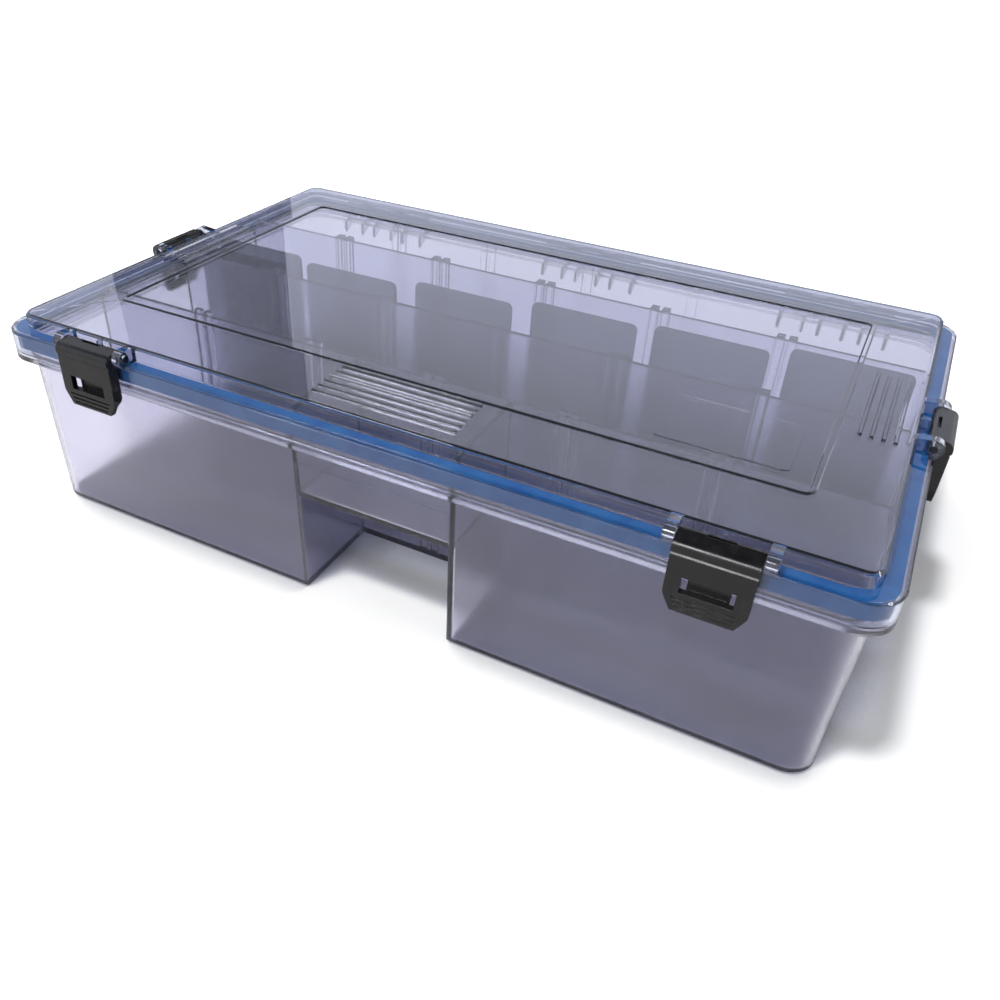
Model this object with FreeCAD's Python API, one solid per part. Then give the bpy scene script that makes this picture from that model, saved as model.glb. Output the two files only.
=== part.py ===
import FreeCAD, Part
import math
import os

Vector = FreeCAD.Vector

# A waterproof tackle box: a thin-walled tub with fixed rows and loose dividers,
# under a clear hinged lid that carries a soft seal and four pivoting latches.
# Frame: X runs along the length, Y from the latched front to the hinges and Z up.
# The origin is the middle of the base's underside. Lengths are in millimetres.

# Rim: the outline that the tub's flange and the lid's skirt share
rim_length = 358.4
rim_depth = 225.4
rim_radius = 12.5

# Tub shell
flange_top = 74.2
flange_thick = 2.2
flange_reach = 4.5
flange_end_reach = 5.2
body_radius = 12.5
draft_run = 1.8
tub_wall = 1.9
tub_floor = 2.0
base_bevel = 1.2
upstand_rise = 5.8

# Rows: the long walls are counted from the back, and rails part each row into bays
row_pitch = 55.6
long_wall_count = 3
bay_count = 6
wall_thick = 1.8
wall_end_clear = 0.5
rail_rib = 3.4
rail_slot = 1.8
rail_depth = 1.5
rail_rise = 1.5

# Tray in the middle of the front row, over the open finger notch
notch_half = 33.0
tray_underside = 46.6
tray_floor = 2.0
ledge_height = 62.8
ledge_recess = 0.6

# Lid
flange_gap = 1.0
skirt_wall = 1.8
plate_thick = 1.8
crown_inset = 6.4
crown_end_inset = 7.1
crown_radius = 6.0
crown_rise = 5.8
lid_wall = 1.8
hip_rise = 0.8
crown_bevel = 1.1
rim_bevel = 0.7
bead_run_x = 26.9
bead_run_y = 31.1
bead_width = 2.4
bead_height = 0.7
bead_bevel = 0.55
bead_radius = 4.2

# Raised lines for the thumb on the lid's border
grip_pitch = 4.05
grip_width = 1.6
grip_height = 0.8
grip_foot = 0.16
front_grips = 6
front_grip_length = 59.6
front_grip_edge = 7.7
side_grips = 4
side_grip_length = 53.6
side_grip_edge = 6.8

# Bare raised pad on the lid
pad_length = 46.8
pad_depth = 33.3
pad_from_end = 66.3
pad_from_front = 64.0
pad_height = 0.35
pad_radius = 2.0

# Seal, an L in section: a band over the tub's upstand and a lip outside it
seal_clear = 0.3
seal_band = 2.5
seal_side_clear = 0.2
seal_lip = 1.5
seal_lip_drop = 3.0

# Latches
latch_from_end = 52.9
latch_width = 26.8
pivot_inset = 1.2
pivot_rise = 2.8
pin_radius = 1.5
pin_clear = 0.05
barrel_clear = 0.1
latch_plate = 2.4
latch_standoff = 2.5
latch_drop = 9.2
shoulder_reach = 5.3
shoulder_fall = 0.6
nose_back = 0.75
nose_rise = 1.1
nose_drop = 0.8
shoulder_low = 2.2
step_depth = 0.4
step_drop = 0.7
web_clear = 0.35
web_bevel = 1.5
latch_side_wall = 2.0
latch_side_clear = 0.4
side_wall_rise = 0.6
side_wall_drop = 2.0
side_wall_slant = 6.5
corner_cut_width = 3.2
corner_cut_height = 6.0
window_width = 17.0
window_height = 6.0
window_sill = 1.4
hook_width = 13.5
hook_clear = 0.3
hook_reach = 2.1
hook_wall = 1.4
hook_recess = 0.6
hook_block_above = 2.0
hook_block_below = 3.0
hook_tip = 0.9
hook_root = 2.6
groove_height = 0.8
groove_depth = 0.6
groove_pitch = 1.85
grooves = 3
groove_side = 3.0
core_slot_length = 9.0
core_slot_width = 1.2

# Lugs and the stop rib that carry each latch on the lid
lug_thick = 3.9
lug_side_clear = 0.25
lug_nose = 3.6
lug_below_edge = 0.2
stop_rib = 1.0
stop_clear = 0.25
stop_below_edge = 0.6

# Hinges
hinge_from_end = 52.9
hinge_span = 51.0
outer_knuckle = 12.5
middle_knuckle = 12.6
knuckle_radius = 3.4
knuckle_side_clear = 0.3
hinge_setback = 4.5
hinge_rise = 5.1
bracket_front_clear = 1.1
bracket_cut = 1.4
bracket_cut_rise = 3.8
arm_root_rise = 0.8
gusset_thick = 1.2
gusset_drop = 6.8

# Loose dividers: bay along the third row, and place across it as a share of its width
divider_side_clear = 1.8
divider_slot_clear = 0.2
divider_end_clear = 2.8
divider_radius = 3.0
divider_foot_clear = 0.3
divider_above_wall = 0.7
wall_to_roof = 3.5
divider_places = [(0, 0.13), (0, 0.39), (1, 0.30), (2, 0.45), (3, 0.61), (4, 0.71), (5, 0.88)]

# Heights that follow from the sizes above
flange_low = flange_top - flange_thick
upstand_top = flange_top + upstand_rise
skirt_low = flange_top + flange_gap
plate_low = upstand_top + seal_clear + seal_band
plate_top = plate_low + plate_thick
crown_edge = plate_top + crown_rise
crown_top = crown_edge + hip_rise
roof_low = crown_edge - lid_wall
wall_top = roof_low - wall_to_roof
rail_top = wall_top + rail_rise
pivot_height = plate_top + pivot_rise
barrel_radius = pivot_rise - barrel_clear
pin_hole = pin_radius + pin_clear
latch_low = flange_low - latch_drop
hook_top = flange_low - hook_clear
window_low = hook_top - window_sill
window_top = window_low + window_height
web_low = plate_top + web_clear
hinge_z = flange_top + hinge_rise

# Lines across the plan that follow from them
rim_x = rim_length / 2
rim_y = rim_depth / 2
body_x = rim_x - flange_end_reach
body_y = rim_y - flange_reach
floor_x = body_x - draft_run - tub_wall
back_line = body_y - tub_wall - draft_run / 2
bay_length = 2 * floor_x / bay_count
crown_x = rim_x - crown_end_inset
crown_y = rim_y - crown_inset
latch_x = rim_x - latch_from_end
lug_start = latch_width / 2 + lug_side_clear
lug_end = lug_start + lug_thick
plate_out = latch_standoff + latch_plate
hook_face = latch_standoff - hook_wall - hook_recess
hinge_x = rim_x - hinge_from_end
hinge_y = rim_y + hinge_setback
divider_width = row_pitch - wall_thick - 2 * divider_side_clear
divider_thick = rail_slot - 2 * divider_slot_clear

# Small overlap that joins solids cleanly, and how far a cut runs past the face it opens
bite = 0.6
overrun = 1.0
least_radius = 0.5
same_height = 0.01


def rounded_outline(half_x, half_y, radius, height):
    # Wire of a rectangle with round corners, centred on the Z axis
    edges = []
    inner_x = half_x - radius
    inner_y = half_y - radius
    for turn in range(4):
        start = math.pi / 2 * turn
        side = [(1, 1), (-1, 1), (-1, -1), (1, -1)][turn]
        centre = Vector(side[0] * inner_x, side[1] * inner_y, height)
        points = []
        for step in (0, 0.5, 1):
            angle = start + math.pi / 2 * step
            points.append(centre + Vector(radius * math.cos(angle), radius * math.sin(angle), 0))
        if edges:
            edges.append(Part.LineSegment(edges[-1].EndPoint, points[0]))
        edges.append(Part.Arc(points[0], points[1], points[2]))
    edges.append(Part.LineSegment(edges[-1].EndPoint, edges[0].StartPoint))
    return Part.Wire([edge.toShape() for edge in edges])


# Outlines moved in by inset: the rounds of a wall's two faces share their centres

def rim_outline(inset, height):
    return rounded_outline(rim_x - inset, rim_y - inset, max(rim_radius - inset, least_radius), height)


def body_outline(inset, height):
    return rounded_outline(body_x - inset, body_y - inset, max(body_radius - inset, least_radius), height)


def crown_outline(inset, height):
    return rounded_outline(crown_x - inset, crown_y - inset, max(crown_radius - inset, least_radius), height)


def upright_block(outline, inset, low, high):
    return Part.Face(outline(inset, low)).extrude(Vector(0, 0, high - low))


def span_box(x_range, y_range, z_range):
    corner = Vector(x_range[0], y_range[0], z_range[0])
    return Part.makeBox(x_range[1] - x_range[0], y_range[1] - y_range[0], z_range[1] - z_range[0], corner)


def side_profile(steps, x_low, x_high):
    # Closed outline in the YZ plane, swept along X. A step is a point to draw a
    # line to, or a pair of points to draw an arc through and to.
    start = Vector(x_low, *steps[0])
    here = start
    edges = []
    for step in steps[1:]:
        if isinstance(step[0], tuple):
            middle = Vector(x_low, *step[0])
            end = Vector(x_low, *step[1])
            edges.append(Part.Arc(here, middle, end).toShape())
        else:
            end = Vector(x_low, *step)
            edges.append(Part.LineSegment(here, end).toShape())
        here = end
    edges.append(Part.LineSegment(here, start).toShape())
    return Part.Face(Part.Wire(edges)).extrude(Vector(x_high - x_low, 0, 0))


def rod(radius, x_low, x_high, y, z):
    return Part.makeCylinder(radius, x_high - x_low, Vector(x_low, y, z), Vector(1, 0, 0))


def edges_at_height(shape, height):
    found = []
    for edge in shape.Edges:
        box = edge.BoundBox
        if abs(box.ZMin - height) < same_height and abs(box.ZMax - height) < same_height:
            found.append(edge)
    return found


def fused(shapes):
    return shapes[0].multiFuse(shapes[1:]).removeSplitter()


def one_solid(shape):
    # A boolean result as its single solid
    if len(shape.Solids) != 1:
        raise ValueError("expected one solid, found %d" % len(shape.Solids))
    return shape.Solids[0]


# ---- places along the rim ----

# A piece on the rim is drawn about X = 0 with the rim's face at Y = 0 and the
# outside towards -Y. A station has its place, its turn and the crown's inset there.
latch_stations = {
    "front_left": (Vector(-latch_x, -rim_y, 0), 0, crown_inset),
    "front_right": (Vector(latch_x, -rim_y, 0), 0, crown_inset),
    "left": (Vector(-rim_x, 0, 0), -90, crown_end_inset),
    "right": (Vector(rim_x, 0, 0), 90, crown_end_inset),
}
front_middle = (Vector(0, -rim_y, 0), 0, crown_inset)


def at_station(shape, station):
    moved = shape.copy()
    moved.rotate(Vector(0, 0, 0), Vector(0, 0, 1), station[1])
    moved.translate(station[0])
    return moved


# ---- tub ----

def draft_at(height):
    # The tub's outer face leans in towards the base
    return draft_run * (1 - height / flange_low)


def body_block(inset, low, high):
    # Drafted block inside the tub's outer face moved in by inset
    foot = body_outline(inset + draft_at(low), low)
    head = body_outline(inset + draft_at(high), high)
    return Part.makeLoft([foot, head], True, True)


def tub_shell():
    body = body_block(0, 0, flange_low)
    body = body.makeChamfer(base_bevel, edges_at_height(body, 0))
    upstand = upright_block(body_outline, 0, flange_low, upstand_top)
    flange = upright_block(rim_outline, 0, flange_low, flange_top)
    outside = fused([body, upstand, flange])
    hollow = body_block(tub_wall, tub_floor, flange_low)
    neck = upright_block(body_outline, tub_wall, flange_low, upstand_top + overrun)
    return outside.cut(fused([hollow, neck]))


def long_wall_lines():
    return [back_line - count * row_pitch for count in range(1, long_wall_count + 1)]


def rail_stations():
    return [count * bay_length - floor_x for count in range(1, bay_count)]


def rail_pair(x, y_range, top):
    # Two upright ribs with the slot that takes a divider's edge between them
    ribs = []
    for side in (-1, 1):
        inner = x + side * rail_slot / 2
        outer = inner + side * rail_rib
        x_range = (min(inner, outer), max(inner, outer))
        ribs.append(span_box(x_range, y_range, (tub_floor - bite, top)))
    return ribs


def inner_walls():
    # Long walls, their rails, and the two cross walls and floor of the tray
    low = tub_floor - bite
    solids = []
    lines = long_wall_lines()
    front_wall = lines[-1]
    for y in lines:
        solids.append(span_box((-rim_x, rim_x), (y - wall_thick / 2, y + wall_thick / 2), (low, wall_top)))
        for x in rail_stations():
            back = (y + wall_thick / 2 - bite, y + wall_thick / 2 + rail_depth)
            front = (y - wall_thick / 2 - rail_depth, y - wall_thick / 2 + bite)
            solids += rail_pair(x, back, rail_top)
            if y != front_wall:
                solids += rail_pair(x, front, rail_top)
    for side in (-1, 1):
        inner = side * notch_half
        outer = inner + side * wall_thick
        x_range = (min(inner, outer), max(inner, outer))
        solids.append(span_box(x_range, (-rim_y, front_wall), (low, wall_top)))
    tray_x = (-notch_half - bite, notch_half + bite)
    tray_z = (tray_underside, tray_underside + tray_floor)
    solids.append(span_box(tray_x, (-rim_y, front_wall), tray_z))
    return fused(solids)


def back_wall_rails():
    # Rails on the back wall stop below the seal, following the wall's draft
    solids = []
    rail_face = tub_wall + rail_depth
    for x in rail_stations():
        solids += rail_pair(x, (body_y - draft_run - rail_face, body_y), upstand_top - rail_rise)
    drafted = body_block(rail_face, tub_floor - bite, flange_low)
    straight = upright_block(body_outline, rail_face, flange_low, upstand_top)
    return fused(solids).cut(fused([drafted, straight]))


def room_for_walls():
    # Walls grow out of the shell below the seal and stay inside the lid above it
    below = body_block(tub_wall - bite, tub_floor - bite, flange_low)
    neck = upright_block(body_outline, tub_wall - bite, flange_low, upstand_top)
    above = upright_block(crown_outline, lid_wall + wall_end_clear, upstand_top, rail_top + overrun)
    return fused([below, neck, above])


def finger_notch():
    front_face = long_wall_lines()[-1] - wall_thick / 2
    return span_box((-notch_half, notch_half), (-rim_depth, front_face), (-overrun, tray_underside))


def ledge_cut():
    # Shallow recess in the tray's front face, from its ledge line down
    z_range = (tray_underside - overrun, ledge_height)
    front = span_box((-notch_half, notch_half), (-rim_depth, long_wall_lines()[-1]), z_range)
    return front.cut(body_block(ledge_recess, 0, flange_low))


def hinge_middles():
    return {"left": -hinge_x, "middle": 0.0, "right": hinge_x}


def tub_knuckles(middle):
    half = hinge_span / 2
    return [
        (middle - half, middle - half + outer_knuckle),
        (middle - middle_knuckle / 2, middle + middle_knuckle / 2),
        (middle + half - outer_knuckle, middle + half),
    ]


def lid_knuckles(middle):
    spans = tub_knuckles(middle)
    return [
        (spans[0][1] + knuckle_side_clear, spans[1][0] - knuckle_side_clear),
        (spans[1][1] + knuckle_side_clear, spans[2][0] - knuckle_side_clear),
    ]


def tub_bracket(x_low, x_high):
    # Knuckle on an upright that stands on the flange behind the lid's skirt
    back = hinge_y + knuckle_radius
    outline = [
        (rim_y - bite, flange_low),
        (back - bracket_cut, flange_low),
        (back, flange_low + bracket_cut_rise),
        (back, hinge_z),
        ((hinge_y, hinge_z + knuckle_radius), (hinge_y - knuckle_radius, hinge_z)),
        (rim_y + bracket_front_clear, flange_top),
        (rim_y - bite, flange_top),
    ]
    return side_profile(outline, x_low, x_high)


def gusset(x_low):
    # Tapered rib under the flange that carries a bracket's edge on the back wall
    foot = flange_low - gusset_drop
    root = body_y - tub_wall / 2 - draft_at(foot)
    back = hinge_y + knuckle_radius - bracket_cut
    outline = [(root, foot), (back, flange_low), (back, flange_low + bite), (root, flange_low + bite)]
    return side_profile(outline, x_low, x_low + gusset_thick)


def tub():
    walls = fused([inner_walls(), back_wall_rails()]).common(room_for_walls())
    solids = [tub_shell(), walls]
    for middle in hinge_middles().values():
        for x_low, x_high in tub_knuckles(middle):
            solids.append(tub_bracket(x_low, x_high))
            solids.append(gusset(x_low))
            solids.append(gusset(x_high - gusset_thick))
    body = fused(solids).cut(finger_notch()).cut(ledge_cut())
    for middle in hinge_middles().values():
        half = hinge_span / 2 + overrun
        body = body.cut(rod(pin_hole, middle - half, middle + half, hinge_y, hinge_z))
    return one_solid(body.removeSplitter())


# ---- lid ----

def border_height(run, bead_run):
    # Height of the lid's sloping border at a distance in from the crown's face
    return crown_edge + hip_rise * run / bead_run


def hipped_roof(drop):
    # Block under four slopes that meet along the hips, moved down by drop
    foot = rectangle_points(crown_x, crown_y, crown_edge - drop)
    head = rectangle_points(crown_x - bead_run_x, crown_y - bead_run_y, crown_top - drop)
    below = span_box((-crown_x, crown_x), (-crown_y, crown_y), (skirt_low, crown_edge - drop))
    return fused([flat_sided_block(foot, head), below])


def rectangle_points(half_x, half_y, height):
    corners = [(-half_x, -half_y), (half_x, -half_y), (half_x, half_y), (-half_x, half_y)]
    return [Vector(x, y, height) for x, y in corners]


def flat_sided_block(foot, head):
    # Solid between two outlines with as many corners, with flat faces all round
    faces = [Part.Face(Part.makePolygon(outline + outline[:1])) for outline in (foot, head)]
    for corner in range(len(foot)):
        after = (corner + 1) % len(foot)
        side = [foot[corner], foot[after], head[after], head[corner], foot[corner]]
        faces.append(Part.Face(Part.makePolygon(side)))
    solid = Part.Solid(Part.Shell(faces))
    if solid.Volume < 0:
        solid.reverse()
    return solid


def crown():
    outside = upright_block(crown_outline, 0, plate_low, crown_top + overrun).common(hipped_roof(0))
    top_edges = []
    for edge in outside.Edges:
        box = edge.BoundBox
        if box.ZMin > crown_edge - same_height and box.ZMax < crown_edge + hip_rise / 2:
            top_edges.append(edge)
    return outside.makeChamfer(crown_bevel, top_edges)


def bead():
    outer = bead_width / 2
    half_x = crown_x - bead_run_x
    half_y = crown_y - bead_run_y
    low = crown_top - bite
    height = bite + bead_height
    outside = rounded_outline(half_x + outer, half_y + outer, bead_radius, low)
    inside = rounded_outline(half_x - outer, half_y - outer, bead_radius - bead_width, low)
    ring = Part.Face(outside).extrude(Vector(0, 0, height))
    ring = ring.cut(Part.Face(inside).extrude(Vector(0, 0, height)))
    return ring.makeChamfer(bead_bevel, edges_at_height(ring, low + height))


def grip_line(station, length, run, bead_run):
    # One raised line with sloping flanks, at a distance in from the crown's face
    height = border_height(run, bead_run)
    middle = station[2] + run
    half = grip_width / 2
    outline = [
        (middle - half, height - bite),
        (middle - half, height + grip_foot),
        (middle - half / 2, height + grip_height),
        (middle + half / 2, height + grip_height),
        (middle + half, height + grip_foot),
        (middle + half, height - bite),
    ]
    return at_station(side_profile(outline, -length / 2, length / 2), station)


def grip_lines():
    lines = []
    for count in range(front_grips):
        run = front_grip_edge + count * grip_pitch
        lines.append(grip_line(front_middle, front_grip_length, run, bead_run_y))
    for name in ("left", "right"):
        for count in range(side_grips):
            run = side_grip_edge + count * grip_pitch
            lines.append(grip_line(latch_stations[name], side_grip_length, run, bead_run_x))
    return lines


def label_pad():
    low = crown_top - bite
    height = bite + pad_height
    pad = Part.Face(rounded_outline(pad_length / 2, pad_depth / 2, pad_radius, low))
    pad = pad.extrude(Vector(0, 0, height))
    pad.translate(Vector(rim_x - pad_from_end, pad_from_front - rim_y, 0))
    return pad


def latch_mount(station):
    # Two lugs and the stop rib between them, joined to the crown's face
    wall_middle = station[2] + lid_wall / 2 + bite / 2
    solids = []
    for side in (-1, 1):
        x_range = sorted((side * lug_start, side * lug_end))
        outline = [
            (wall_middle, plate_low + bite),
            (wall_middle, crown_edge - lug_below_edge),
            (pivot_inset, pivot_height + lug_nose),
            ((pivot_inset - lug_nose, pivot_height), (pivot_inset, pivot_height - lug_nose)),
            (pivot_inset, plate_low + bite),
        ]
        solids.append(side_profile(outline, x_range[0], x_range[1]))
    rib_front = pivot_inset + barrel_radius + stop_clear
    rib_z = (plate_low + bite, crown_edge - stop_below_edge)
    solids.append(span_box((-stop_rib / 2, stop_rib / 2), (rib_front, wall_middle), rib_z))
    return at_station(fused(solids), station)


def lid_arm(x_low, x_high):
    # Knuckle on an arm from the lid's skirt
    outline = [
        (rim_y - bite, hinge_z - knuckle_radius),
        (hinge_y, hinge_z - knuckle_radius),
        ((hinge_y + knuckle_radius, hinge_z), (hinge_y, hinge_z + knuckle_radius)),
        (rim_y - bite, hinge_z + knuckle_radius + arm_root_rise),
    ]
    return side_profile(outline, x_low, x_high)


def lid():
    plate = upright_block(rim_outline, 0, plate_low, plate_top)
    plate = plate.makeChamfer(rim_bevel, edges_at_height(plate, plate_top))
    skirt = upright_block(rim_outline, 0, skirt_low, plate_low)
    skirt = skirt.cut(upright_block(rim_outline, skirt_wall, skirt_low, plate_low))
    room = upright_block(crown_outline, lid_wall, skirt_low, crown_top).common(hipped_roof(lid_wall))
    body = fused([plate, skirt, crown()]).cut(room)
    additions = [bead(), label_pad()] + grip_lines()
    for station in latch_stations.values():
        additions.append(latch_mount(station))
    for middle in hinge_middles().values():
        for x_low, x_high in lid_knuckles(middle):
            additions.append(lid_arm(x_low, x_high))
    body = fused([body] + additions)
    reach = lug_end + overrun
    for station in latch_stations.values():
        body = body.cut(at_station(rod(pin_hole, -reach, reach, pivot_inset, pivot_height), station))
    for middle in hinge_middles().values():
        half = hinge_span / 2 + overrun
        body = body.cut(rod(pin_hole, middle - half, middle + half, hinge_y, hinge_z))
    return one_solid(body.removeSplitter())


# ---- seal ----

def lid_seal():
    outer = skirt_wall + seal_side_clear
    inner = tub_wall - seal_side_clear / 2
    low = upstand_top + seal_clear
    band = upright_block(rim_outline, outer, low, plate_low)
    band = band.cut(upright_block(body_outline, inner, low, plate_low))
    lip = upright_block(rim_outline, outer, low - seal_lip_drop, plate_low)
    lip = lip.cut(upright_block(rim_outline, outer + seal_lip, low - seal_lip_drop, plate_low))
    return one_solid(fused([band, lip]))


# ---- latches ----

def latch_profile():
    # Shoulder over the lid's rim and the plate that hangs down outside it.
    # Positions across are -Y, so an outward distance is written with a minus.
    shoulder_foot = pivot_height - shoulder_low
    return [
        (pivot_inset, pivot_height + barrel_radius),
        (-latch_standoff, pivot_height + barrel_radius - shoulder_fall),
        ((-shoulder_reach + nose_back, pivot_height + nose_rise), (-shoulder_reach, pivot_height - nose_drop)),
        (-shoulder_reach, shoulder_foot),
        (-plate_out + step_depth, shoulder_foot - step_drop),
        (-plate_out, shoulder_foot - 2 * step_drop),
        (-plate_out, latch_low),
        (-latch_standoff, latch_low),
        (-latch_standoff, web_low - web_bevel),
        (-latch_standoff + web_bevel, web_low),
        (pivot_inset, web_low),
    ]


def latch_side_walls():
    half = latch_width / 2
    wall_high = plate_top + side_wall_rise
    outline = [
        (-latch_side_clear, flange_low - side_wall_drop),
        (-latch_side_clear, wall_high),
        (-latch_standoff - bite, wall_high),
        (-latch_standoff - bite, flange_low - side_wall_slant),
    ]
    return [side_profile(outline, x, x + latch_side_wall) for x in (-half, half - latch_side_wall)]


def latch_hook():
    # Block behind the plate's window, with the tooth that catches the tub's flange
    x_range = (-hook_width / 2, hook_width / 2)
    y_range = (-latch_standoff - bite, -hook_face)
    block = span_box(x_range, y_range, (window_low - hook_block_below, window_top + hook_block_above))
    tooth = [
        (-hook_face - bite, hook_top),
        (hook_reach, hook_top),
        (hook_reach, hook_top - hook_tip),
        (-hook_face - bite, hook_top - hook_root),
    ]
    return [block, side_profile(tooth, x_range[0], x_range[1])]


def latch_window():
    # Opening in the plate: shallow over the hook's block, right through beside it
    z_range = (window_low, window_top)
    recess = (-plate_out - overrun, -hook_face - hook_wall)
    through = (-plate_out - overrun, -latch_side_clear)
    return [
        span_box((-window_width / 2, window_width / 2), recess, z_range),
        span_box((-window_width / 2, -hook_width / 2), through, z_range),
        span_box((hook_width / 2, window_width / 2), through, z_range),
    ]


def latch_grooves():
    # Finger grooves that get longer towards the top
    cuts = []
    y_range = (-plate_out - overrun, -plate_out + groove_depth)
    for count in range(grooves):
        low = latch_low + groove_pitch * (count + 1) - groove_height
        reach = latch_width / 2 - groove_side - (grooves - 1 - count) * groove_height
        cuts.append(span_box((-reach, reach), y_range, (low, low + groove_height)))
    return cuts


def core_slot():
    # Slot along the barrel's crest
    x_range = (-core_slot_length / 2, core_slot_length / 2)
    y_range = (pivot_inset - core_slot_width / 2, pivot_inset + core_slot_width / 2)
    return span_box(x_range, y_range, (pivot_height, pivot_height + barrel_radius + overrun))


def latch():
    half = latch_width / 2
    plate = side_profile(latch_profile(), -half, half)
    barrel = rod(barrel_radius, -half, half, pivot_inset, pivot_height)
    body = fused([plate, barrel] + latch_side_walls() + latch_hook())
    bore = rod(pin_hole, -half - overrun, half + overrun, pivot_inset, pivot_height)
    corners = [corner_wedge(-1), corner_wedge(1)]
    for cut in corners + latch_window() + latch_grooves() + [bore, core_slot()]:
        body = body.cut(cut)
    return one_solid(body.removeSplitter())


def corner_wedge(side):
    # Cut that slants a lower corner of the latch's plate
    foot = latch_width / 2 - corner_cut_width
    wide = corner_cut_width + overrun
    rise = corner_cut_height * wide / corner_cut_width
    front = -plate_out - overrun
    corners = [
        Vector(side * foot, front, latch_low),
        Vector(side * (foot + wide), front, latch_low + rise),
        Vector(side * (foot + wide), front, latch_low - overrun),
        Vector(side * foot, front, latch_low - overrun),
    ]
    return Part.Face(Part.makePolygon(corners + corners[:1])).extrude(Vector(0, hook_reach - front, 0))


def latch_pin():
    return rod(pin_radius, -lug_end, lug_end, pivot_inset, pivot_height)


# ---- hinge pins and dividers ----

def hinge_pin(middle):
    half = hinge_span / 2
    return rod(pin_radius, middle - half, middle + half, hinge_y, hinge_z)


def divider_middle(bay):
    # A divider stands against the end wall in an end bay, and mid-bay elsewhere
    from_end = divider_end_clear + divider_width / 2
    if bay == 0:
        return from_end - floor_x
    if bay == bay_count - 1:
        return floor_x - from_end
    return (bay + 0.5) * bay_length - floor_x


def divider(bay, share):
    # Loose plate with rounded top corners, standing in the third row
    lines = long_wall_lines()
    row_front = lines[1] + wall_thick / 2 + rail_depth
    row_back = lines[0] - wall_thick / 2 - rail_depth
    middle_y = row_front + share * (row_back - row_front)
    middle_x = divider_middle(bay)
    half = divider_width / 2
    low = tub_floor + divider_foot_clear
    high = wall_top + divider_above_wall
    plate = span_box((-half, half), (-divider_thick / 2, divider_thick / 2), (low, high))
    upright = []
    for edge in plate.Edges:
        box = edge.BoundBox
        if box.ZMin > high - same_height and box.YMax - box.YMin > divider_thick / 2:
            upright.append(edge)
    plate = plate.makeFillet(divider_radius, upright)
    plate.translate(Vector(middle_x, middle_y, 0))
    return plate


# ---- files ----

def write_step(node, shape):
    if not shape.isValid():
        raise ValueError(node + " is not a valid shape")
    shape.exportStep("parts/" + node + ".step")
    print("%-24s solids %d  volume %.0f mm3" % (node, len(shape.Solids), shape.Volume))


os.makedirs("parts", exist_ok=True)
write_step("tub", tub())
write_step("lid", lid())
write_step("lid_seal", lid_seal())
for name, station in latch_stations.items():
    write_step("latch_" + name, at_station(latch(), station))
    write_step("latch_pin_" + name, at_station(latch_pin(), station))
for name, middle in hinge_middles().items():
    write_step("hinge_pin_" + name, hinge_pin(middle))
for count, (bay, share) in enumerate(divider_places, 1):
    write_step("divider_%d" % count, divider(bay, share))
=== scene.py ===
import math
import bpy
from mathutils import Euler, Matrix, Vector

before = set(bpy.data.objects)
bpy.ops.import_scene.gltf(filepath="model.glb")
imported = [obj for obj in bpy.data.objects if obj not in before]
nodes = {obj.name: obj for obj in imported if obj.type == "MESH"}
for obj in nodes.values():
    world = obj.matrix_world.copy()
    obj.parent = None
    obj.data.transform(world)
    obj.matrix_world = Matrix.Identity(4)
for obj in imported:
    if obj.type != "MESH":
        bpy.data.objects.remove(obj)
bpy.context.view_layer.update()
mm = 0.001
print("frame loaded:", len(nodes), "nodes")


def linear(hexColour):
    # sRGB hex to the linear colour that a socket takes
    channels = [int(hexColour[i:i + 2], 16) / 255 for i in (1, 3, 5)]
    return [c / 12.92 if c <= 0.04045 else ((c + 0.055) / 1.055) ** 2.4 for c in channels] + [1.0]


def addNode(tree, kind, settings=None, values=None, links=None):
    # One node with its settings, its sockets' values, and what is linked into its sockets:
    # an output of another node, or the node itself for its first output
    node = tree.nodes.new("ShaderNode" + kind)
    for name, value in (settings or {}).items():
        setattr(node, name, value)
    for socket, value in (values or {}).items():
        node.inputs[socket].default_value = value
    for socket, source in (links or {}).items():
        tree.links.new(getattr(source, "outputs", [source])[0], node.inputs[socket])
    return node


def newMaterial(name):
    material = bpy.data.materials.new(name)
    material.use_nodes = True
    material.node_tree.nodes.clear()
    return material, material.node_tree


def objectPoints(tree):
    # Metres in the part's own frame, because every node of the part sits at the origin
    return addNode(tree, "TexCoord").outputs["Object"]


def blobs(size, detail):
    # Values for noise with blobs of that size in mm
    return {"Scale": 1 / (size * mm), "Detail": detail}


def fromTo(source, target):
    # Values that map one span to another
    return dict(zip(("From Min", "From Max", "To Min", "To Max"), (*source, *target)))


noiseSpan = (0.3, 0.7)                     # most of what noise gives lies between these
lowColour, highColour = 6, 7               # the two colour sockets of a Mix node
mixedColour = 2                            # and its colour output


def reliefOn(tree, look, height):
    # Relief of the moulded skin, on edges that the shading rounds where the look says so
    relief = addNode(tree, "Bump", values={"Distance": look["reliefDepth"] * mm},
                     links={"Height": height})
    if "edge" in look:
        rounded = addNode(tree, "Bevel", {"samples": 4}, {"Radius": look["edge"] * mm})
        tree.links.new(rounded.outputs["Normal"], relief.inputs["Normal"])
    return relief


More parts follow.
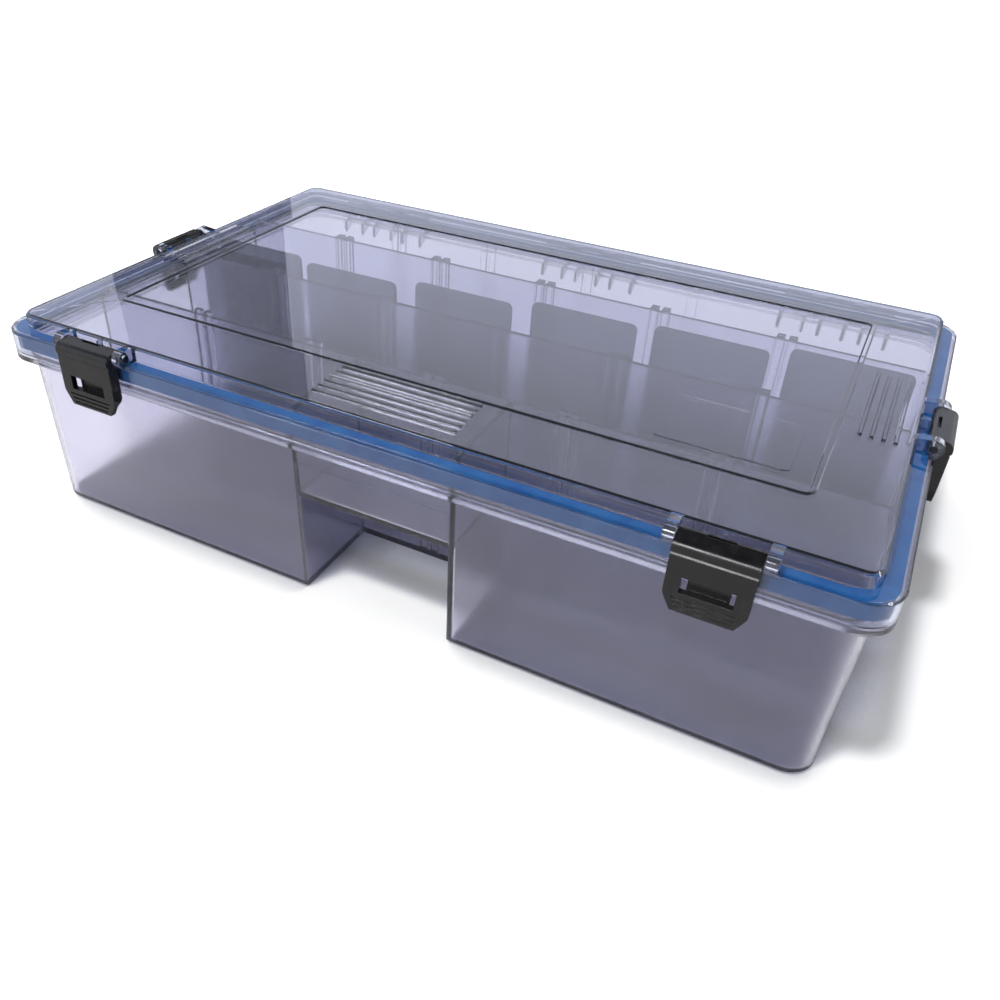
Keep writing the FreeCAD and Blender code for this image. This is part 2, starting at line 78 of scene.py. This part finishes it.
def seeThroughPlastic(look):
    # Smoke plastic with patches of haze: lamp light reaches what lies behind it, tinted
    material, tree = newMaterial(look["name"])
    points = objectPoints(tree)
    height = addNode(tree, "TexNoise", values=blobs(*look["relief"]), links={"Vector": points})
    haze = addNode(tree, "TexNoise", values=blobs(*look["haze"]), links={"Vector": points})
    body = addNode(tree, "BsdfPrincipled", values={
        "Base Color": linear(look["tint"]),
        "IOR": look["ior"],
        "Transmission Weight": look["clearShare"],
    }, links={
        "Roughness": addNode(tree, "MapRange", values=fromTo(noiseSpan, look["roughness"]),
                             links={"Value": haze}),
        "Normal": reliefOn(tree, look, height),
    })
    lampLight = addNode(tree, "BsdfTransparent", values={"Color": linear(look["lampTint"])})
    forLamps = addNode(tree, "LightPath").outputs["Is Shadow Ray"]
    surface = addNode(tree, "MixShader", links={0: forLamps, 1: body, 2: lampLight})
    addNode(tree, "OutputMaterial", links={"Surface": surface})
    return material


# Clear smoke styrene, injection moulded in a polished tool: glassy, with slow ripples in its shine
lidPlastic = {
    "name": "clearMouldedStyrene",
    "tint": "#CACEDF",       # smoke grey with a little violet
    "lampTint": "#D4D7DE",   # what lamp light keeps at each face
    "ior": 1.57,
    "clearShare": 0.99,
    "roughness": (0.015, 0.04),
    "haze": (14.0, 3.0),     # mm across a patch, and its detail
    "relief": (38.0, 1.0),   # mm from ripple to ripple, and their detail
    "reliefDepth": 0.012,    # mm
    "edge": 0.25,            # mm of rounding that the shading gives
}

# Smoke polypropylene from a spark-textured tool: light passes, but shapes behind it go soft
tubPlastic = {
    "name": "frostedPolypropylene",
    "tint": "#E9E8F4",
    "lampTint": "#C8C9D3",
    "ior": 1.49,
    "clearShare": 0.98,
    "roughness": (0.15, 0.22),
    "haze": (22.0, 3.0),
    "relief": (0.9, 2.0),    # the real spark grain is near 0.1 mm, drawn coarser so that it shows
    "reliefDepth": 0.002,
    "edge": 1.2,
}

# Smoke polypropylene from a smoother tool than the tub's, darker partly by its own smoke and partly
# by painted shade: clearer, with a soft shine
dividerPlastic = {
    "name": "smokeDividerSheet",
    # darker than the tub's tint: partly the sheet's own smoke, partly painted shade of the box's
    # unlit inside
    "tint": "#767986",
    "lampTint": "#B0B2BE",
    "ior": 1.49,
    "clearShare": 0.98,
    "roughness": (0.08, 0.14),
    "haze": (1.2, 2.0),
    "relief": (1.2, 2.0),
    "reliefDepth": 0.002,
}

sealRubber = {
    "colour": "#1085DA",
    "pale": "#35A0EA",
    "bloom": (9.0, 3.0),     # mm across the powdery patches that silicone shows, and their detail
    "roughness": (0.32, 0.48),
    "ior": 1.43,
    "softShare": 0.2,        # share of the light that sinks in
    "softDepth": 0.6,        # mm that it goes
}


def mouldedSilicone():
    # Silicone rubber, pressed in a mould: soft sheen, a faint powdery bloom
    look = sealRubber
    material, tree = newMaterial("mouldedSilicone")
    bloom = addNode(tree, "TexNoise", values=blobs(*look["bloom"]),
                    links={"Vector": objectPoints(tree)})
    share = addNode(tree, "MapRange", values=fromTo(noiseSpan, (0, 1)), links={"Value": bloom})
    colour = addNode(tree, "Mix", {"data_type": "RGBA"}, {
        lowColour: linear(look["colour"]),
        highColour: linear(look["pale"]),
    }, {"Factor": share})
    body = addNode(tree, "BsdfPrincipled", values={
        "IOR": look["ior"],
        "Subsurface Weight": look["softShare"],
        "Subsurface Scale": look["softDepth"] * mm,
    }, links={
        "Base Color": colour.outputs[mixedColour],
        "Roughness": addNode(tree, "MapRange", values=fromTo(noiseSpan, look["roughness"]),
                             links={"Value": bloom}),
    })
    addNode(tree, "OutputMaterial", links={"Surface": body})
    return material


latchPlastic = {
    "colour": "#0A090A",
    "worn": "#121113",
    "wear": (6.0, 3.0),      # mm across a rubbed patch, and its detail
    "roughness": (0.20, 0.30),
    "ior": 1.54,
    "grain": (0.7, 2.0),     # mm; the real grain is finer, drawn coarser so that it shows
    "reliefDepth": 0.006,
    "edge": 0.35,
}


def blackMouldedAbs():
    # Black ABS, injection moulded: satin skin, rubbed a little paler in patches
    look = latchPlastic
    material, tree = newMaterial("blackMouldedAbs")
    points = objectPoints(tree)
    grain = addNode(tree, "TexNoise", values=blobs(*look["grain"]), links={"Vector": points})
    wear = addNode(tree, "TexNoise", values=blobs(*look["wear"]), links={"Vector": points})
    share = addNode(tree, "MapRange", values=fromTo(noiseSpan, (0, 1)), links={"Value": wear})
    colour = addNode(tree, "Mix", {"data_type": "RGBA"}, {
        lowColour: linear(look["colour"]),
        highColour: linear(look["worn"]),
    }, {"Factor": share})
    body = addNode(tree, "BsdfPrincipled", values={"IOR": look["ior"]}, links={
        "Base Color": colour.outputs[mixedColour],
        "Roughness": addNode(tree, "MapRange", values=fromTo(noiseSpan, look["roughness"]),
                             links={"Value": wear}),
        "Normal": reliefOn(tree, look, grain),
    })
    addNode(tree, "OutputMaterial", links={"Surface": body})
    return material


pinSteel = {
    "colour": "#3A3B40",
    "patches": (1.5, 2.0),   # mm across a dull patch, and its detail
    "roughness": (0.28, 0.45),
}


def blackenedSteelRod():
    # Drawn steel rod, blackened: dark metal that goes from bright to dull in small patches
    look = pinSteel
    material, tree = newMaterial("blackenedSteelRod")
    patches = addNode(tree, "TexNoise", values=blobs(*look["patches"]),
                      links={"Vector": objectPoints(tree)})
    body = addNode(tree, "BsdfPrincipled", values={
        "Base Color": linear(look["colour"]),
        "Metallic": 1.0,
    }, links={
        "Roughness": addNode(tree, "MapRange", values=fromTo(noiseSpan, look["roughness"]),
                             links={"Value": patches}),
    })
    addNode(tree, "OutputMaterial", links={"Surface": body})
    return material


# How the nodes' names start, and what each is made of: the first that fits counts
rod = blackenedSteelRod()
madeOf = {
    "lid_seal": mouldedSilicone(),
    "lid": seeThroughPlastic(lidPlastic),
    "tub": seeThroughPlastic(tubPlastic),
    "divider_": seeThroughPlastic(dividerPlastic),
    "hinge_pin_": rod,
    "latch_pin_": rod,
    "latch_": blackMouldedAbs(),
}

for name, node in nodes.items():
    start = next(start for start in madeOf if name.startswith(start))
    node.data.materials.clear()
    node.data.materials.append(madeOf[start])
print("materials set")


def rectangle(left, right, front, back, height):
    # Corners of a sheet that lies level
    return [(x, y, height) for x, y in ((left, front), (right, front), (right, back), (left, back))]


def flatPiece(name, corners, material, hiddenFrom=()):
    # Flat sheet of the studio, which the named kinds of ray don't see
    mesh = bpy.data.meshes.new(name)
    mesh.from_pydata(corners, [], [tuple(range(len(corners)))])
    mesh.materials.append(material)
    piece = bpy.data.objects.new(name, mesh)
    for ray in hiddenFrom:
        setattr(piece, "visible_" + ray, False)
    bpy.context.scene.collection.objects.link(piece)


def seenInShine(tree):
    # 1 for rays that a polished surface mirrors, not for those that frosted plastic lets through
    ray = addNode(tree, "LightPath")
    return addNode(tree, "Math", {"operation": "MULTIPLY"}, links={
        0: ray.outputs["Is Glossy Ray"],
        1: ray.outputs["Is Reflection Ray"],
    })


paperRoll = {
    "half": 12.0,            # m from the middle to each edge
    "height": -0.0002,       # m, just clear of the box's base
    "white": "#FFFFFF",
    # Painted shadow: the grey that the paper's colour goes to near the box
    "paintedShadowColour": "#8C8E9D",
    # Two sides from which the painted shadow is masked: which way the paper looks, how far in m,
    # and the shares of open sky at which the painted shadow is darkest and the paper whitest
    "skies": (
        ((-0.55, 0.70, 0.30), 0.020, (0.26, 0.60)),
        ((-0.70, -0.62, 0.35), 0.056, (0.38, 0.58)),
    ),
    "skySamples": 12,
    "glow": (0.06, 1.0),     # glow that makes the paper read as white, near the box and far off
    "glowFrom": (0.22, 0.55),              # m from the box's middle where those two hold
    "glowThroughPlastic": 0.22,
    "mirroredShare": 0.55,   # how much of the paper shows in the shine of the plastic
}


def openTo(tree, side, reach, limits):
    # Mask for the painted shadow: 1 where nothing stands within reach on that side, 0 where the box
    # shuts it out
    way = addNode(tree, "CombineXYZ", values=dict(zip("XYZ", side)))
    unit = addNode(tree, "VectorMath", {"operation": "NORMALIZE"}, links={0: way})
    sky = addNode(tree, "AmbientOcclusion", {"samples": paperRoll["skySamples"]},
                  {"Distance": reach}, {"Normal": unit})
    return addNode(tree, "MapRange", values=fromTo(limits, (0, 1)),
                   links={"Value": sky.outputs["AO"]})


def whitePaperWithPaintedShadow():
    # White paper roll, matt, with a painted shadow: its colour goes softly grey where the box shuts
    # out the open sky around it, and its glow takes that colour too
    look = paperRoll
    material, tree = newMaterial("whitePaperWithPaintedShadow")
    # Painted shadow mask, from how much open sky each of the two sides leaves
    paintedShadowMask = addNode(tree, "Math", {"operation": "MINIMUM"}, links={
        socket: openTo(tree, *sky) for socket, sky in enumerate(look["skies"])
    })
    colour = addNode(tree, "Mix", {"data_type": "RGBA"}, {
        lowColour: linear(look["paintedShadowColour"]),
        highColour: linear(look["white"]),
    }, {"Factor": paintedShadowMask}).outputs[mixedColour]
    dimmed = addNode(tree, "Mix", {"data_type": "RGBA", "blend_type": "MULTIPLY"}, {
        highColour: [look["mirroredShare"]] * 3 + [1.0],
    }, {"Factor": seenInShine(tree), lowColour: colour})
    matt = addNode(tree, "BsdfDiffuse", links={"Color": dimmed.outputs[mixedColour]})
    fromMiddle = addNode(tree, "VectorMath", {"operation": "LENGTH"},
                         links={0: objectPoints(tree)})
    growing = addNode(tree, "MapRange", values=fromTo(look["glowFrom"], look["glow"]),
                      links={"Value": fromMiddle.outputs["Value"]})
    ray = addNode(tree, "LightPath")
    straight = addNode(tree, "Math", {"operation": "MULTIPLY"},
                       links={0: ray.outputs["Is Camera Ray"], 1: growing})
    through = addNode(tree, "Math", {"operation": "MULTIPLY"}, {1: look["glowThroughPlastic"]},
                      {0: ray.outputs["Is Transmission Ray"]})
    strength = addNode(tree, "Math", {"operation": "MAXIMUM"}, links={0: straight, 1: through})
    glow = addNode(tree, "Emission", links={"Color": colour, "Strength": strength})
    paper = addNode(tree, "AddShader", links={0: matt, 1: glow})
    addNode(tree, "OutputMaterial", links={"Surface": paper})
    return material


half = paperRoll["half"]
floorCorners = rectangle(-half, half, -half, half, paperRoll["height"])
flatPiece("studioFloor", floorCorners, whitePaperWithPaintedShadow())

blackCard = {
    "colour": "#08080A",
    "sides": (-1.27, -0.812),              # m
    "heights": (0.15, 1.15),
    "back": 0.90,
    "hiddenFrom": ("camera", "diffuse", "transmission", "volume_scatter", "shadow"),
}


def blackVelvetCard():
    # Black velvet on a board: gives the lid's shine a dark part beside the bright one
    material, tree = newMaterial("blackVelvetCard")
    velvet = addNode(tree, "BsdfDiffuse", values={"Color": linear(blackCard["colour"])})
    addNode(tree, "OutputMaterial", links={"Surface": velvet})
    return material


(left, right), (low, high), back = (blackCard[key] for key in ("sides", "heights", "back"))
cardCorners = [(left, back, low), (right, back, low), (right, back, high), (left, back, high)]
flatPiece("blackCard", cardCorners, blackVelvetCard(), blackCard["hiddenFrom"])

# Painted light: a glowing sheet, seen only through clear plastic, that brightens what shows through
# the tub's left end
paintedGlowSheet = {
    "colour": "#FFFFFF",
    "strength": 1.35,
    "edges": (-0.60, -0.18, -0.30, -0.02),           # m: left, right, front, back
    "height": 0.0005,
    "hiddenFrom": ("camera", "diffuse", "glossy", "volume_scatter", "shadow"),
}


def paintedGlowPaper():
    # Painted light: a glowing sheet beside the box's left end, no lamp, that shows only through
    # clear plastic
    material, tree = newMaterial("paintedGlowPaper")
    glow = addNode(tree, "Emission", values={
        "Color": linear(paintedGlowSheet["colour"]),
        "Strength": paintedGlowSheet["strength"],
    })
    addNode(tree, "OutputMaterial", links={"Surface": glow})
    return material


glowSheetCorners = rectangle(*paintedGlowSheet["edges"], paintedGlowSheet["height"])
flatPiece("paintedGlowSheet", glowSheetCorners, paintedGlowPaper(), paintedGlowSheet["hiddenFrom"])

room = {
    "white": "#FFFFFF",
    "mirrored": "#EEF2FF",   # bluish soft light round the walls that shows in polished plastic
    "ceiling": "#474A55",    # unlit ceiling above it
    "lightTop": (36.0, 46.0),              # degrees up where one gives way to the other
    "fill": 0.17,            # strength of the light that it gives to the box and the floor
}


def whiteRoom():
    world = bpy.data.worlds.new("studioWhite")
    world.use_nodes = True
    tree = world.node_tree
    tree.nodes.clear()
    way = addNode(tree, "SeparateXYZ", links={0: addNode(tree, "TexCoord").outputs["Generated"]})
    lightTop = [math.sin(math.radians(angle)) for angle in room["lightTop"]]
    rise = addNode(tree, "MapRange", values=fromTo(lightTop, (0, 1)),
                   links={"Value": way.outputs["Z"]})
    mirrored = addNode(tree, "Mix", {"data_type": "RGBA"}, {
        lowColour: linear(room["mirrored"]),
        highColour: linear(room["ceiling"]),
    }, {"Factor": rise})
    colour = addNode(tree, "Mix", {"data_type": "RGBA"}, {lowColour: linear(room["white"])}, {
        "Factor": seenInShine(tree),
        highColour: mirrored.outputs[mixedColour],
    })
    # Full strength for rays that see the room itself, straight, through plastic or in its shine
    ray = addNode(tree, "LightPath")
    straight = addNode(tree, "Math", {"operation": "MAXIMUM"}, links={
        0: ray.outputs["Is Camera Ray"],
        1: ray.outputs["Is Transmission Ray"],
    })
    seen = addNode(tree, "Math", {"operation": "MAXIMUM"},
                   links={0: straight, 1: ray.outputs["Is Glossy Ray"]})
    strength = addNode(tree, "MapRange", values=fromTo((0, 1), (room["fill"], 1)),
                       links={"Value": seen})
    light = addNode(tree, "Background", links={
        "Color": colour.outputs[mixedColour],
        "Strength": strength,
    })
    addNode(tree, "OutputWorld", links={"Surface": light})
    return world


bpy.context.scene.world = whiteRoom()

aim = (0, 0, 0.04)           # m, the middle of the box
softboxes = {
    # place and size in m, watts, and whether it shows in the shine of the box
    "softboxFront": ((-0.64, -1.50, 3.70), 0.40, 105.0, False),
    "softboxLow": ((-0.40, -3.00, 1.60), 0.80, 36.0, True),
    "softboxTop": ((-1.90, 0.20, 3.60), 0.90, 26.0, True),
    "softboxRight": ((2.60, -0.30, 1.30), 0.80, 20.0, True),
}

for name, (place, size, watts, shines) in softboxes.items():
    data = bpy.data.lights.new(name, "AREA")
    data.size = size
    data.energy = watts
    lamp = bpy.data.objects.new(name, data)
    lamp.location = place
    lamp.rotation_euler = (Vector(aim) - Vector(place)).to_track_quat("-Z", "Y").to_euler()
    lamp.visible_glossy = lamp.visible_transmission = shines
    bpy.context.scene.collection.objects.link(lamp)

camera = {
    "place": (0.1530, -0.3441, 0.2555),    # m
    "turn": (54.964, -2.068, 27.516),      # degrees about X, Y and Z
    "lens": 33.41,           # mm
    "sensor": 36.0,          # mm
    "shift": (0.0390, -0.0018),
    "nearest": 0.01,         # m
}
cameraData = bpy.data.cameras.new("studioCamera")
cameraData.lens = camera["lens"]
cameraData.sensor_width = camera["sensor"]
cameraData.shift_x, cameraData.shift_y = camera["shift"]
cameraData.clip_start = camera["nearest"]
cameraObject = bpy.data.objects.new("studioCamera", cameraData)
cameraObject.location = camera["place"]
cameraObject.rotation_euler = Euler([math.radians(angle) for angle in camera["turn"]])
bpy.context.scene.collection.objects.link(cameraObject)
bpy.context.scene.camera = cameraObject
bpy.context.scene.view_settings.view_transform = "Standard"

# Light has to get through many thin walls one behind the other
cycles = bpy.context.scene.cycles
cycles.max_bounces = 20
cycles.transmission_bounces = 20
cycles.transparent_max_bounces = 32
cycles.caustics_refractive = False
cycles.caustics_reflective = False
print("stage, lamps and camera set")
